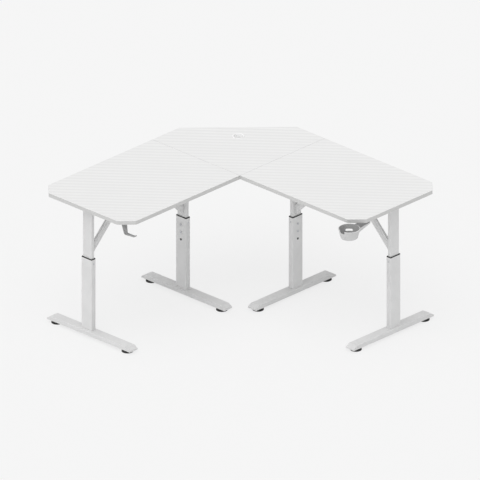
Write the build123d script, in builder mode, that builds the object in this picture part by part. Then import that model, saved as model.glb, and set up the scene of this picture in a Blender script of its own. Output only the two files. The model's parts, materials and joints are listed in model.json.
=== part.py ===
from build123d import *
import math
import os

# L-shaped corner desk on four telescopic legs that are set to height by hand
# Two wings and a corner board make the top. Each wing stands on two T-shaped legs. A leg is a flat
# tube on a foot bar, and inside it a second tube that carries the top and is held by two lock bolts.
# The frame: +Z up, the floor at z = 0, the right wing along +X, the left wing along -Y, and the
# person sits towards (+X, -Y). The desk stands at its lowest setting. All sizes are in millimetres.

os.makedirs("parts", exist_ok=True)

# Desk top
wing_length = 1400.0  # outer length of a wing, along its wall
wing_depth = 600.0
top_height = 725.0  # top surface above the floor at the lowest setting
board = 20.0
back_cut = 410.0  # side of the chamfer across the back corner
corner_cut = 67.0  # side of the chamfer on each free corner of a wing
corner_round = 10.0
edge_round = 1.2
seam_gap = 0.4
grommet_inset = 103.0  # from the back chamfer to the middle of the cable hole
grommet_hole = 50.0
grommet_wall = 5.0
grommet_mouth = 48.0  # of the funnel at the top of its bore
grommet_funnel = 12.0
grommet_overlap = 5.0  # of its flange on the board
grommet_lip = 2.0
grommet_below = 5.0

# Travel and heights of the legs
travel = 200.0
pad_room = 14.0  # floor to the underside of the foot bar
foot_height = 22.0
bottom_room = 48.0  # under the glide at the lowest setting
collar_flange = 4.0

# Leg tubes, with the long side across the wing
leg_inset = 66.0  # leg centre from the outer end and from the seam of its wing
leg_setback = 25.0  # leg centre behind the middle of its foot bar
lower_width = 70.0
lower_thick = 30.0
lower_round = 4.0
upper_round = 3.0
tube_wall = 2.0
slide_gap = 0.3
seat_gap = 0.1
thread_gap = 0.05

# Lock bolts, on the wide face that looks at the other leg of the wing
lock_bolt = 8.0
lock_head = 12.5
lock_head_height = 4.0
lock_pitch = 40.0
lock_holes = 3
lock_bolts_fitted = 2
first_lock_drop = 44.0  # first hole below the top of the collar
hole_clearance = 0.6  # on diameter, round a bolt
plug_head = 11.0  # of the plug in each hole that takes no bolt
plug_head_height = 1.5
clamp_plate_width = 24.0
clamp_plate_thick = 5.0
clamp_plate_margin = 12.0
bolt_tip = 1.2  # bolt past its thread

# Collar bush, its screws, the glide at the foot of the upper tube
collar_skirt = 110.0
collar_wall = 2.6  # between the two tubes
slot_margin = 11.7  # from the slot for the lock bolts to the plug of the glide
collar_screw_drop = 27.0
collar_screw = 3.6
collar_screw_head = 7.0
collar_screw_head_height = 2.0
collar_screw_length = 4.2
glide_height = 14.0
glide_plug = 20.0
glide_chamfer = 1.0

# Foot bar, levelling feet and the bolts that hold the lower tube
foot_margin = 17.0  # from the front and the back of the wing to the ends of the bar
foot_width = 55.0
foot_wall = 2.0
foot_bevel = 24.0  # length of the slope at each end
foot_bevel_drop = 14.0
foot_round = 3.0
base_plate = 6.0
foot_bolt = 8.0
foot_bolt_head = 13.0
foot_bolt_head_height = 4.5
foot_bolt_pitch = 40.0
pad_inset = 43.0  # pad centre from the end of the bar
pad_diameter = 58.0
pad_hub = 24.0
pad_hub_rise = 2.0
pad_gap = 0.5  # from the hub to the underside of the bar
pad_edge = 1.5
pad_draft = 8.0  # degrees
stud = 8.0
stud_in_pad = 6.5
stud_hex = 13.0
stud_hex_height = 4.0
stud_hex_gap = 1.5
stud_boss = 16.0
stud_end_gap = 1.0

# Support arm on top of the upper tube
arm_shortfall = 200.0  # of the arm against the depth of the wing
arm_width = 50.0
arm_height = 20.0
arm_wall = 2.5
arm_bevel = 15.0
arm_screw_inset = 30.0  # from each end of the arm
arm_screw_from_tube = 50.0  # from each side of the upper tube

# Brace from the upper tube to the underside of the wing
brace_angle = 45.0
brace_web = 35.0  # across the brace, on the side that the person sees
brace_flange = 12.0
brace_sheet = 2.0
brace_front = 13.0  # face of the web in front of the tube's middle
brace_foot_rise = 10.0  # lowest point of the brace above the collar
brace_tab = 26.0
brace_tab_round = 3.0
bead_width = 18.0
bead_height = 2.4
bead_end = 26.0  # plain web before and after the bead
brace_bolt = 6.0
brace_bolt_head = 10.5
brace_bolt_head_height = 3.3
brace_bolt_length = 10.0
brace_bolt_rises = (16.0, 36.0)  # above the lowest point of the brace
brace_screw_insets = (16.0, 36.0)  # from the far end of the upper tab

# Wood screws and the joint of the three boards
screw = 4.0
screw_head = 8.0
screw_head_height = 2.4
screw_length = 14.5
screw_cross = 4.6
screw_cross_slot = 1.1
screw_cross_depth = 1.3
screw_pilot = 13.5
seam_plate_length = 150.0
seam_plate_width = 40.0
seam_plate_thick = 3.0
seam_plate_on_wing = 35.0
seam_plate_back = 95.0  # from the wall to the middle of the first plate
seam_plate_front = 145.0  # from the front edge to the middle of the last plate
seam_plate_count = 3
seam_screw_inset = 17.0
seam_screw_pitch = 20.0
dowel = 8.0
dowel_length = 36.0
dowel_inset = 45.0  # from the wall and from the front edge
dowel_count = 4
dowel_end_gap = 0.5

# Headphone hook under the free front corner of the left wing
hook_from_end = 52.0
hook_from_front = 70.0
hook_base_width = 36.0  # of the plate under the board
hook_width = 22.0  # at the lower bend
hook_tip_width = 12.0
hook_strip = 4.0
hook_plate = 46.0
hook_drop = 62.0
hook_lean = 14.0
hook_arm = 64.0
hook_rise = 4.0
hook_tip = 7.0
hook_bend = 8.0
hook_screw_insets = (10.0, 30.0)

# Cup holder at the free front corner of the right wing
cup_from_end = 20.5  # cup centre inside the end of the wing
cup_clear = 2.3  # between the rim and the chamfered edge of the wing
cup_rim = 110.0
cup_lip = 1.5  # rim past the wall of the bowl
cup_base = 84.0
cup_depth = 52.0
cup_wall = 2.5
cup_base_round = 9.0
cup_rim_height = 4.0
cup_drop = 21.5  # rim below the top surface
cup_notch_width = 32.0
cup_notch_depth = 15.0
cup_notch_round = 6.0
cup_window_width = 37.0
cup_window_height = 10.5
cup_window_drop = 29.0
cup_window_angle = 135.0
cup_arm_width = 30.0
cup_arm_length = 140.0  # from the cup centre to the end of the arm
cup_arm_root = 39.5  # height of the arm at the cup
cup_arm_end = 12.0
cup_arm_flat = 62.0  # length that lies against the underside
cup_arm_rise = 14.0
cup_screw_insets = (13.0, 40.0)
cup_screw_floor = 4.0
cup_screw_bore = 9.0

# Sizes of pieces that fit in others
tube_step = tube_wall + seat_gap + collar_wall + slide_gap
upper_width = lower_width - 2 * tube_step
upper_thick = lower_thick - 2 * tube_step
lock_hole_radius = (lock_bolt + hole_clearance) / 2
lock_span = (lock_bolts_fitted - 1) * lock_pitch
slot_below = first_lock_drop + lock_span + travel + lock_hole_radius  # collar top to foot of slot
upper_inserted = slot_below + slot_margin + glide_plug  # collar top to foot of the upper tube
lower_tube_length = base_plate + bottom_room + glide_height + upper_inserted - collar_flange
foot_length = wing_depth - 2 * foot_margin
arm_length = wing_depth - arm_shortfall
pad_height = pad_room - pad_gap
pad_rim = pad_height - pad_hub_rise
grommet_bore = grommet_hole - 2 * grommet_wall
grommet_flange = grommet_hole + 2 * grommet_overlap
funnel_slope = math.degrees(math.atan2((grommet_mouth - grommet_bore) / 2, grommet_funnel))
cup_mouth = cup_rim - 2 * cup_lip

# Heights that follow
foot_top = pad_room + foot_height
foot_ceiling = foot_top - foot_wall
tube_top = foot_top + lower_tube_length
collar_top = tube_top + collar_flange
underside = top_height - board
lock_heights = [collar_top - first_lock_drop - i * lock_pitch for i in range(lock_holes)]
bolted_heights = lock_heights[:lock_bolts_fitted]
upper_bottom = collar_top - upper_inserted

# The back corner, set so that the box round the whole desk is centred on the origin
cup_overhang = max(0.0, cup_rim / 2 - cup_from_end)
corner = Vector(-(wing_length + cup_overhang) / 2, wing_length / 2, 0)
wings = {
    "left": (Vector(0, -1, 0), Vector(1, 0, 0)),
    "right": (Vector(1, 0, 0), Vector(0, -1, 0)),
}
outer_station = wing_length - leg_inset
inner_station = wing_depth + leg_inset
leg_depth = wing_depth / 2 - leg_setback


def on_wing(wing, along, depth):
    """The point that lies so far along a wing from the corner, and so far out from its wall."""
    wing_along, wing_front = wings[wing]
    return corner + wing_along * along + wing_front * depth


def flat(point):
    return (point.X, point.Y)


def leg_plane(wing, station, towards):
    """The leg's own frame: on the floor under the leg, x to the other leg of the wing."""
    return Plane(on_wing(wing, station, leg_depth), x_dir=wings[wing][0] * towards, z_dir=(0, 0, 1))


legs = {
    "left_outer": ("left", outer_station, -1),
    "left_inner": ("left", inner_station, 1),
    "right_inner": ("right", inner_station, 1),
    "right_outer": ("right", outer_station, -1),
}
leg_planes = {name: leg_plane(*leg) for name, leg in legs.items()}
foot_planes = {
    name: Plane(on_wing(wing, station, wing_depth / 2), x_dir=wings[wing][1], z_dir=(0, 0, 1))
    for name, (wing, station, towards) in legs.items()
}


def spread(first, last, count):
    """So many places at even steps, from the first to the last."""
    return [first + (last - first) * i / (count - 1) for i in range(count)]


def write(piece, name):
    piece.label = name
    export_step(piece, f"parts/{name}.step")


def write_copy(piece, name, plane):
    write(piece.moved(plane.location), name)


def gather(piece, planes):
    """One part that holds a copy of the piece on each plane, as separate solids."""
    with BuildPart() as group:
        for plane in planes:
            add(piece.moved(plane.location))
    return group.part


# Brace lines in the leg's frame: x out from the leg, z up
tube_face = upper_thick / 2
brace_turn = math.radians(brace_angle)
brace_low = collar_top + brace_foot_rise
brace_high = brace_low + brace_web / math.cos(brace_turn)
brace_skin = brace_sheet / math.cos(brace_turn)  # sheet thickness measured upright


def brace_reach(height):
    """Where a line that leaves the tube's face at this height meets the underside."""
    return tube_face + (underside - height) / math.tan(brace_turn)


def brace_band(low, high):
    """The slanting band between two such lines."""
    return [
        (tube_face, low),
        (brace_reach(low), underside),
        (brace_reach(high), underside),
        (tube_face, high),
    ]


brace_end = brace_reach(brace_low)
brace_screw_spots = [brace_end - inset for inset in brace_screw_insets]


# Places of every wood screw in the underside, with the height that its head bears on
arm_screw_reaches = [arm_length / 2 - arm_screw_inset, upper_width / 2 + arm_screw_from_tube]
arm_screw_steps = [side * reach for side in (-1, 1) for reach in arm_screw_reaches]
seam_plate_depths = spread(seam_plate_back, wing_depth - seam_plate_front, seam_plate_count)
dowel_depths = spread(dowel_inset, wing_depth - dowel_inset, dowel_count)
arm_bearing = underside - arm_wall
plate_bearing = underside - seam_plate_thick
brace_bearing = underside - brace_sheet
hook_bearing = underside - hook_strip
cup_bearing = underside - cup_screw_floor
hook_station = wing_length - hook_from_end
hook_depth = wing_depth - hook_from_front
cup_station = wing_length - cup_from_end
chamfer_sum = wing_length + wing_depth - corner_cut
cup_out = chamfer_sum + math.sqrt(2) * (cup_rim / 2 + cup_clear) - cup_station
seam_plate_middle = wing_depth + seam_plate_on_wing - seam_plate_length / 2
seam_screw_span = seam_plate_length / 2 - seam_screw_inset

screw_spots = []
for plane in leg_planes.values():
    screw_spots += [(plane.from_local_coords((0, y)), arm_bearing) for y in arm_screw_steps]
    screw_spots += [(plane.from_local_coords((x, 0)), brace_bearing) for x in brace_screw_spots]
for wing in wings:
    for depth in seam_plate_depths:
        for along in (-seam_screw_span, seam_screw_span):
            for across in (-seam_screw_pitch / 2, seam_screw_pitch / 2):
                spot = on_wing(wing, seam_plate_middle + along, depth + across)
                screw_spots.append((spot, plate_bearing))
screw_spots += [
    (on_wing("left", hook_station, hook_depth - hook_plate + inset), hook_bearing)
    for inset in hook_screw_insets
]
screw_spots += [
    (on_wing("right", cup_station, cup_out - cup_arm_length + inset), cup_bearing)
    for inset in cup_screw_insets
]

dowel_height = underside + board / 2
dowel_planes = [
    Plane(on_wing(wing, wing_depth, depth) + Vector(0, 0, dowel_height), z_dir=wings[wing][0])
    for wing in wings
    for depth in dowel_depths
]


# Boards of the top
def make_board(outline, rounded):
    """A board with its free corners rounded, its upper edges eased, and its drilled holes."""
    with BuildPart() as panel:
        with BuildSketch(Plane.XY.offset(underside)):
            with BuildLine():
                Polyline([flat(point) for point in outline], close=True)
            make_face()
        extrude(amount=board)
        upright = panel.edges().filter_by(Axis.Z)
        free = [e for e in upright if min((e.center() - p).length for p in rounded) < board]
        fillet(free, radius=corner_round)
        fillet(panel.faces().sort_by(Axis.Z)[-1].edges(), radius=edge_round)
        with BuildSketch(Plane.XY.offset(underside)):
            with Locations(*[flat(spot) for spot, _ in screw_spots]):
                Circle(screw / 2 + thread_gap)
        extrude(amount=screw_pilot, mode=Mode.SUBTRACT)
        for plane in dowel_planes:
            with BuildSketch(plane):
                Circle(dowel / 2 + thread_gap)
            extrude(amount=dowel_length / 2 + dowel_end_gap, both=True, mode=Mode.SUBTRACT)
    return panel.part


seam_on_wing = wing_depth + seam_gap / 2
seam_on_corner = wing_depth - seam_gap / 2
for wing in wings:
    corners = [
        on_wing(wing, wing_length - corner_cut, 0),
        on_wing(wing, wing_length, corner_cut),
        on_wing(wing, wing_length, wing_depth - corner_cut),
        on_wing(wing, wing_length - corner_cut, wing_depth),
    ]
    seam = [on_wing(wing, seam_on_wing, wing_depth), on_wing(wing, seam_on_wing, 0)]
    board_middle = Vector(0, 0, underside + board / 2)
    write(make_board(corners + seam, [p + board_middle for p in corners]), f"{wing}_wing_panel")

back_ends = [on_wing("left", back_cut, 0), on_wing("right", back_cut, 0)]
corner_board = make_board(
    back_ends
    + [
        on_wing("right", seam_on_corner, 0),
        on_wing("right", seam_on_corner, seam_on_corner),
        on_wing("left", seam_on_corner, 0),
    ],
    [p + Vector(0, 0, underside + board / 2) for p in back_ends],
)
grommet_place = (back_cut + math.sqrt(2) * grommet_inset) / 2
grommet_plane = Plane(on_wing("right", grommet_place, grommet_place))
with BuildPart() as corner_panel:
    add(corner_board)
    with BuildSketch(grommet_plane.offset(underside)):
        Circle(grommet_hole / 2)
    extrude(amount=board, mode=Mode.SUBTRACT)
write(corner_panel.part, "corner_panel")

with BuildPart() as cable_grommet:
    with BuildSketch(grommet_plane.offset(underside - grommet_below)):
        Circle(grommet_hole / 2 - seat_gap)
    extrude(amount=grommet_below + board)
    with BuildSketch(grommet_plane.offset(top_height)):
        Circle(grommet_flange / 2)
    extrude(amount=grommet_lip)
    fillet(cable_grommet.faces().sort_by(Axis.Z)[-1].edges(), radius=grommet_lip * 0.6)
    with BuildSketch(grommet_plane.offset(underside - grommet_below)):
        Circle(grommet_bore / 2)
    extrude(amount=grommet_below + board + grommet_lip, mode=Mode.SUBTRACT)
    with BuildSketch(grommet_plane.offset(top_height + grommet_lip)):
        Circle(grommet_mouth / 2)
    extrude(amount=-grommet_funnel, taper=funnel_slope, mode=Mode.SUBTRACT)
write(cable_grommet.part, "cable_grommet")

# Plates, dowels and screws of the top
with BuildPart() as seam_plates:
    for wing in wings:
        for depth in seam_plate_depths:
            place = on_wing(wing, seam_plate_middle, depth)
            plate_plane = Plane(place, x_dir=wings[wing][0], z_dir=(0, 0, 1))
            with BuildSketch(plate_plane.offset(plate_bearing)):
                RectangleRounded(seam_plate_length, seam_plate_width, seam_plate_thick)
                with GridLocations(2 * seam_screw_span, seam_screw_pitch, 2, 2):
                    Circle((screw + hole_clearance) / 2, mode=Mode.SUBTRACT)
            extrude(amount=seam_plate_thick)
write(seam_plates.part, "seam_plates")

with BuildPart() as one_dowel:
    with BuildSketch():
        Circle(dowel / 2)
    extrude(amount=dowel_length / 2, both=True)
    chamfer(one_dowel.faces().filter_by(Axis.Z).edges(), length=dowel / 8)
write(gather(one_dowel.part, dowel_planes), "seam_dowels")

with BuildPart() as one_screw:
    with BuildSketch():
        Circle(screw_head / 2)
    extrude(amount=-screw_head_height)
    fillet(one_screw.faces().sort_by(Axis.Z)[0].edges(), radius=screw_head_height / 2)
    with BuildSketch(Plane.XY.offset(-screw_head_height)):
        Rectangle(screw_cross, screw_cross_slot)
        Rectangle(screw_cross_slot, screw_cross)
    extrude(amount=screw_cross_depth, mode=Mode.SUBTRACT)
    with BuildSketch():
        Circle(screw / 2)
    extrude(amount=screw_length)
    chamfer(one_screw.faces().sort_by(Axis.Z)[-1].edges(), length=screw / 4)
screw_planes = [Plane(spot + Vector(0, 0, height)) for spot, height in screw_spots]
write(gather(one_screw.part, screw_planes), "top_screws")


# Leg pieces, each in the leg's own frame
def tube_outline(width, thick, radius, inward=0.0):
    """A flat tube's outline, its long side across the wing, drawn in by so much all round."""
    RectangleRounded(thick - 2 * inward, width - 2 * inward, max(radius - inward, 0.5))


bolt_face = Plane.YZ  # looks along +X, at the other leg
lower_half = lower_thick / 2
foot_bolt_spots = [(0, -foot_bolt_pitch / 2), (0, foot_bolt_pitch / 2)]

with BuildPart() as lower_tube:
    with BuildSketch(Plane.XY.offset(foot_top)):
        tube_outline(lower_width, lower_thick, lower_round)
    extrude(amount=lower_tube_length)
    with BuildSketch(Plane.XY.offset(foot_top + base_plate)):
        tube_outline(lower_width, lower_thick, lower_round, tube_wall)
    extrude(amount=lower_tube_length - base_plate, mode=Mode.SUBTRACT)
    with BuildSketch(Plane.XY.offset(foot_top)):
        with Locations(*foot_bolt_spots):
            Circle(foot_bolt / 2 + thread_gap)
    extrude(amount=base_plate, mode=Mode.SUBTRACT)
    with BuildSketch(bolt_face):
        with Locations(*[(0, z) for z in lock_heights]):
            Circle(lock_hole_radius)
    extrude(amount=lower_thick, mode=Mode.SUBTRACT)
    with BuildSketch(Plane.XZ):
        with Locations((0, collar_top - collar_screw_drop)):
            Circle(collar_screw / 2 + thread_gap)
    extrude(amount=lower_width, both=True, mode=Mode.SUBTRACT)

with BuildPart() as guide_collar:
    with BuildSketch(Plane.XY.offset(tube_top)):
        tube_outline(lower_width, lower_thick, lower_round)
    extrude(amount=collar_flange)
    fillet(guide_collar.faces().sort_by(Axis.Z)[-1].edges(), radius=collar_flange / 5)
    with BuildSketch(Plane.XY.offset(tube_top - collar_skirt)):
        tube_outline(lower_width, lower_thick, lower_round, tube_wall + seat_gap)
    extrude(amount=collar_skirt)
    with BuildSketch(Plane.XY.offset(tube_top - collar_skirt)):
        tube_outline(upper_width, upper_thick, upper_round, -slide_gap)
    extrude(amount=collar_skirt + collar_flange, mode=Mode.SUBTRACT)
    with BuildSketch(bolt_face):
        with Locations(*[(0, z) for z in bolted_heights]):
            Circle(lock_hole_radius)
    extrude(amount=lower_thick, mode=Mode.SUBTRACT)
    with BuildSketch(Plane.XZ):
        with Locations((0, collar_top - collar_screw_drop)):
            Circle(collar_screw / 2 + thread_gap)
    extrude(amount=lower_width, both=True, mode=Mode.SUBTRACT)

plate_face = upper_thick / 2 - tube_wall - slide_gap
plate_back = plate_face - clamp_plate_thick
plate_middle = sum(bolted_heights) / len(bolted_heights)
with BuildPart() as clamp_plate:
    with BuildSketch(bolt_face.offset(plate_back)):
        with Locations((0, plate_middle)):
            Rectangle(clamp_plate_width, lock_span + 2 * clamp_plate_margin)
        with Locations(*[(0, z) for z in bolted_heights]):
            Circle(lock_bolt / 2 + thread_gap, mode=Mode.SUBTRACT)
    extrude(amount=clamp_plate_thick)
    chamfer(clamp_plate.edges().filter_by(Axis.X), length=clamp_plate_thick / 2)


def make_button_bolt(diameter, head, head_height, length):
    """A bolt along +Z with its domed socket head below z = 0."""
    with BuildPart() as bolt:
        with BuildSketch():
            Circle(head / 2)
        extrude(amount=-head_height)
        fillet(bolt.faces().sort_by(Axis.Z)[0].edges(), radius=head_height * 0.6)
        with BuildSketch(Plane.XY.offset(-head_height)):
            RegularPolygon(diameter * 0.32, 6)
        extrude(amount=head_height / 2, mode=Mode.SUBTRACT)
        with BuildSketch():
            Circle(diameter / 2)
        extrude(amount=length)
        chamfer(bolt.faces().sort_by(Axis.Z)[-1].edges(), length=diameter / 10)
    return bolt.part


def inward_plane(x, y, z, direction):
    """A plane at a point of the leg, facing along the direction in which its bolt goes in."""
    return Plane((x, y, z), z_dir=direction)


lock_bolt_part = make_button_bolt(
    lock_bolt, lock_head, lock_head_height, lower_half - plate_back + bolt_tip
)
lock_planes = [inward_plane(lower_half, 0, z, (-1, 0, 0)) for z in bolted_heights]

with BuildPart() as one_plug:
    with BuildSketch():
        Circle(plug_head / 2)
    extrude(amount=-plug_head_height)
    fillet(one_plug.faces().sort_by(Axis.Z)[0].edges(), radius=plug_head_height * 0.6)
    with BuildSketch():
        Circle(lock_hole_radius - seat_gap)
    extrude(amount=tube_wall)
spare_heights = lock_heights[lock_bolts_fitted:]
plug_planes = [inward_plane(lower_half, 0, z, (-1, 0, 0)) for z in spare_heights]

collar_screw_part = make_button_bolt(
    collar_screw, collar_screw_head, collar_screw_head_height, collar_screw_length
)
foot_bolt_part = make_button_bolt(
    foot_bolt, foot_bolt_head, foot_bolt_head_height, foot_wall + base_plate + bolt_tip
)
collar_screw_height = collar_top - collar_screw_drop
with BuildPart() as leg_bolts:
    for lock_place in lock_planes:
        add(lock_bolt_part.moved(lock_place.location))
    for side in (-1, 1):
        screw_place = inward_plane(0, side * lower_width / 2, collar_screw_height, (0, -side, 0))
        add(collar_screw_part.moved(screw_place.location))
    for x, y in foot_bolt_spots:
        add(foot_bolt_part.moved(Plane((x, y, foot_ceiling)).location))

# Upper tube with its support arm, the glide at its foot and the brace
slot_low = bolted_heights[-1] - travel
slot_high = bolted_heights[0]
with BuildPart() as upper_leg:
    with BuildSketch(Plane.YZ):
        with BuildLine():
            half = arm_length / 2
            Polyline(
                (-half, underside),
                (half, underside),
                (half - arm_bevel, underside - arm_height),
                (arm_bevel - half, underside - arm_height),
                close=True,
            )
        make_face()
    extrude(amount=arm_width / 2, both=True)
    offset(amount=-arm_wall, openings=upper_leg.faces().sort_by(Axis.Z)[0])
    with BuildSketch(Plane.XY.offset(underside)):
        with Locations(*[(0, y) for y in arm_screw_steps]):
            Circle((screw + hole_clearance) / 2)
    extrude(amount=-arm_wall, mode=Mode.SUBTRACT)
    with BuildSketch(Plane.XY.offset(upper_bottom)):
        tube_outline(upper_width, upper_thick, upper_round)
        with BuildSketch(mode=Mode.SUBTRACT):
            tube_outline(upper_width, upper_thick, upper_round, tube_wall)
    extrude(amount=underside - arm_wall / 2 - upper_bottom)
    with BuildSketch(bolt_face):
        with Locations((0, (slot_low + slot_high) / 2)):
            SlotCenterToCenter(slot_high - slot_low, lock_bolt + hole_clearance, rotation=90)
    extrude(amount=upper_thick, mode=Mode.SUBTRACT)
    with BuildSketch(bolt_face):
        with Locations(*[(0, brace_low + rise) for rise in brace_bolt_rises]):
            Circle(brace_bolt / 2 + thread_gap)
    extrude(amount=upper_thick, mode=Mode.SUBTRACT)

with BuildPart() as one_glide:
    with BuildSketch(Plane.XY.offset(upper_bottom - glide_height)):
        tube_outline(lower_width, lower_thick, lower_round, tube_wall + slide_gap)
    extrude(amount=glide_height)
    chamfer(one_glide.faces().sort_by(Axis.Z)[0].edges(), length=glide_chamfer)
    with BuildSketch(Plane.XY.offset(upper_bottom)):
        tube_outline(upper_width, upper_thick, upper_round, tube_wall + seat_gap)
    extrude(amount=glide_plug)
write(gather(one_glide.part, leg_planes.values()), "glide_bushes")

brace_middle = (brace_low + brace_high) / 2
brace_mid_end = brace_reach(brace_middle)
bead_length = (underside - brace_middle) / math.sin(brace_turn) - 2 * bead_end
bead_spot = (-(tube_face + brace_mid_end) / 2, (brace_middle + underside) / 2)
with BuildPart() as brace:
    with BuildSketch(Plane.XZ.offset(-brace_front)):
        with BuildLine():
            Polyline(brace_band(brace_low, brace_high), close=True)
        make_face()
    extrude(amount=brace_flange)
    with BuildSketch(Plane.XZ.offset(brace_sheet - brace_front)):
        with BuildLine():
            Polyline(brace_band(brace_low + brace_skin, brace_high - brace_skin), close=True)
        make_face()
    extrude(amount=brace_flange - brace_sheet, mode=Mode.SUBTRACT)
    for depth, inset, mode in ((0, 0, Mode.ADD), (brace_sheet, brace_sheet, Mode.SUBTRACT)):
        with BuildSketch(Plane((0, brace_front - depth, 0), x_dir=(-1, 0, 0), z_dir=(0, 1, 0))):
            with Locations(bead_spot):
                SlotOverall(bead_length - 2 * inset, bead_width - 2 * inset, rotation=-brace_angle)
        extrude(amount=bead_height, taper=45, mode=mode)
    with BuildSketch(bolt_face.offset(tube_face)):
        with Locations((0, brace_middle)):
            RectangleRounded(brace_tab, brace_high - brace_low, brace_tab_round)
        with Locations(*[(0, brace_low + rise) for rise in brace_bolt_rises]):
            Circle((brace_bolt + hole_clearance) / 2, mode=Mode.SUBTRACT)
    extrude(amount=brace_sheet)
    with BuildSketch(Plane.XY.offset(underside)):
        with Locations(((brace_end + brace_reach(brace_high)) / 2, 0)):
            RectangleRounded(brace_end - brace_reach(brace_high), brace_tab, brace_tab_round)
        with Locations(*[(x, 0) for x in brace_screw_spots]):
            Circle((screw + hole_clearance) / 2, mode=Mode.SUBTRACT)
    extrude(amount=-brace_sheet)
mirrored_brace = brace.part.mirror(Plane.XZ)

brace_bolt_part = make_button_bolt(
    brace_bolt, brace_bolt_head, brace_bolt_head_height, brace_bolt_length
)
brace_bolt_planes = [
    inward_plane(tube_face + brace_sheet, 0, brace_low + rise, (-1, 0, 0)) for rise in brace_bolt_rises
]
write(gather(gather(brace_bolt_part, brace_bolt_planes), leg_planes.values()), "brace_bolts")

# Foot bar in the foot's own frame: x to the person, the leg behind its middle
foot_half = foot_length / 2
pad_reach = foot_half - pad_inset
boss_bottom = pad_height + stud_hex_height + stud_hex_gap
with BuildPart() as foot_bar:
    with BuildSketch(Plane.XZ):
        with BuildLine():
            Polyline(
                (-foot_half, pad_room),
                (foot_half, pad_room),
                (foot_half, foot_top - foot_bevel_drop),
                (foot_half - foot_bevel, foot_top),
                (foot_bevel - foot_half, foot_top),
                (-foot_half, foot_top - foot_bevel_drop),
                close=True,
            )
        make_face()
    extrude(amount=foot_width / 2, both=True)
    fillet(foot_bar.edges().filter_by(Axis.X).group_by(Axis.Z)[-1], radius=foot_round)
    offset(amount=-foot_wall, openings=foot_bar.faces().sort_by(Axis.Z)[0])
    with BuildSketch(Plane.XY.offset(foot_ceiling)):
        with Locations((-pad_reach, 0), (pad_reach, 0)):
            Circle(stud_boss / 2)
            Circle(stud / 2 + seat_gap, mode=Mode.SUBTRACT)
    extrude(amount=boss_bottom - foot_ceiling)
    with BuildSketch(Plane.XY.offset(foot_ceiling)):
        with Locations(*[(y - leg_setback, x) for x, y in foot_bolt_spots]):
            Circle((foot_bolt + hole_clearance) / 2)
    extrude(amount=foot_wall, mode=Mode.SUBTRACT)

# Levelling foot in its own frame: a pad that stays on the floor and the stud that lifts the bar
with BuildPart() as foot_pad:
    with BuildSketch():
        Circle(pad_diameter / 2)
    extrude(amount=pad_rim, taper=pad_draft)
    with BuildSketch(Plane.XY.offset(pad_rim)):
        Circle(pad_hub / 2)
    extrude(amount=pad_height - pad_rim)
    rims = foot_pad.edges().filter_by(GeomType.CIRCLE).group_by(Axis.Z)
    fillet([rims[0], rims[1].sort_by(SortBy.LENGTH)[-1]], radius=pad_edge)
    with BuildSketch(Plane.XY.offset(pad_height)):
        Circle(stud / 2 + thread_gap)
    extrude(amount=-stud_in_pad, mode=Mode.SUBTRACT)

stud_foot = pad_height - stud_in_pad
with BuildPart() as foot_stud:
    with BuildSketch(Plane.XY.offset(stud_foot)):
        Circle(stud / 2)
    extrude(amount=foot_ceiling - stud_end_gap - stud_foot)
    chamfer(foot_stud.faces().sort_by(Axis.Z)[-1].edges(), length=stud / 8)
    with BuildSketch(Plane.XY.offset(pad_height)):
        RegularPolygon(stud_hex / 2, 6, major_radius=False)
    extrude(amount=stud_hex_height)

for name, plane in leg_planes.items():
    write_copy(lower_tube.part, f"lower_tube_{name}", plane)
    write_copy(guide_collar.part, f"guide_collar_{name}", plane)
    write_copy(clamp_plate.part, f"clamp_plate_{name}", plane)
    write_copy(leg_bolts.part, f"leg_bolts_{name}", plane)
    if plug_planes:
        write_copy(gather(one_plug.part, plug_planes), f"hole_plugs_{name}", plane)
    write_copy(upper_leg.part, f"upper_leg_{name}", plane)
    web_at_left = (plane.y_dir - wings[legs[name][0]][1]).length < 1
    write_copy(brace.part if web_at_left else mirrored_brace, f"brace_{name}", plane)
for name, plane in foot_planes.items():
    write_copy(foot_bar.part, f"foot_bar_{name}", plane)
    for end, reach in (("front", pad_reach), ("back", -pad_reach)):
        pad_plane = Plane(plane.from_local_coords((reach, 0, 0)))
        write_copy(foot_pad.part, f"foot_pad_{name}_{end}", pad_plane)
        write_copy(foot_stud.part, f"foot_stud_{name}_{end}", pad_plane)

# Headphone hook: a flat strip bent down and out under the left wing's free front corner
hook_plane = Plane(on_wing("left", hook_station, hook_depth), x_dir=wings["left"][1], z_dir=(0, 0, 1))
hook_top = underside - hook_strip / 2
hook_turn = underside - hook_drop
hook_end = hook_lean + hook_arm
hook_tip_reach = hook_end + hook_tip / 2
with BuildPart() as hook:
    with BuildSketch(Plane.XZ):
        with BuildLine():
            hook_line = FilletPolyline(
                (-hook_plate, hook_top),
                (0, hook_top),
                (hook_lean, hook_turn),
                (hook_end, hook_turn + hook_rise),
                (hook_tip_reach, hook_turn + hook_rise + hook_tip),
                radius=hook_bend,
            )
        trace(hook_line, line_width=hook_strip)
    extrude(amount=hook_base_width / 2, both=True)
    with BuildSketch(Plane.XY.offset(underside)):
        with BuildLine():
            Polyline(
                (-hook_plate - hook_strip, -hook_base_width / 2),
                (0, -hook_base_width / 2),
                (hook_lean, -hook_width / 2),
                (hook_tip_reach + hook_strip, -hook_tip_width / 2),
                (hook_tip_reach + hook_strip, hook_tip_width / 2),
                (hook_lean, hook_width / 2),
                (0, hook_base_width / 2),
                (-hook_plate - hook_strip, hook_base_width / 2),
                close=True,
            )
        make_face()
    extrude(amount=-2 * hook_drop, mode=Mode.INTERSECT)
    with BuildSketch(Plane.XY.offset(underside)):
        with Locations(*[(inset - hook_plate, 0) for inset in hook_screw_insets]):
            Circle((screw + hole_clearance) / 2)
    extrude(amount=-hook_strip, mode=Mode.SUBTRACT)
    fillet(hook.edges().filter_by(Axis.Y), radius=hook_strip / 5)
write_copy(hook.part, "headphone_hook", hook_plane)

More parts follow.
